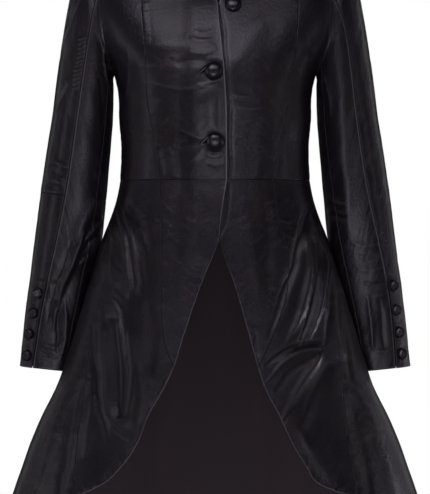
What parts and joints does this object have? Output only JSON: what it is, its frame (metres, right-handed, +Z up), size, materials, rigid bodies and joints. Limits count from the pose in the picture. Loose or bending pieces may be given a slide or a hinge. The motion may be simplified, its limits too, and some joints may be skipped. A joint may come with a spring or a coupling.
{
  "type": "long leather coat",
  "caption": "Long fitted leather coat, filled out as worn, with a stand collar, buttoned front, set-in sleeves, a waist seam and a flared skirt cut away in front.",
  "frame": {"origin": "middle of the neck opening at the height of the neck points, where a wearer or a stand holds the coat", "axes": "+Z up, the coat faces -Y, +X is the wearer's left"},
  "size_m": [0.6316, 0.367, 0.9696],
  "materials": {
    "leather": "glossy soft black nappa",
    "lining": "matt dark lining cloth",
    "button": "glossy black covered button"
  },
  "bodies": {
    "root": {"bodice_front_right": "leather", "bodice_front_left": "leather", "bodice_side_front_right": "leather", "bodice_side_front_left": "leather", "bodice_back_right": "leather", "bodice_back_left": "leather", "skirt_front_right": "leather", "skirt_front_left": "leather", "skirt_side_right": "leather", "skirt_side_left": "leather", "skirt_back_right": "leather", "skirt_back_left": "leather", "skirt_lining": "lining", "sleeve_front_right": "leather", "sleeve_front_left": "leather", "sleeve_back_left": "leather", "sleeve_back_right_upper": "leather", "sleeve_back_right_lower": "leather", "stand_collar": "leather", "front_button_top": "button", "front_button_middle": "button", "front_button_low": "button", "cuff_button_right_1": "button", "cuff_button_right_2": "button", "cuff_button_right_3": "button", "cuff_button_right_4": "button", "cuff_button_left_1": "button", "cuff_button_left_2": "button", "cuff_button_left_3": "button", "cuff_button_left_4": "button"}
  },
  "joints": []
}
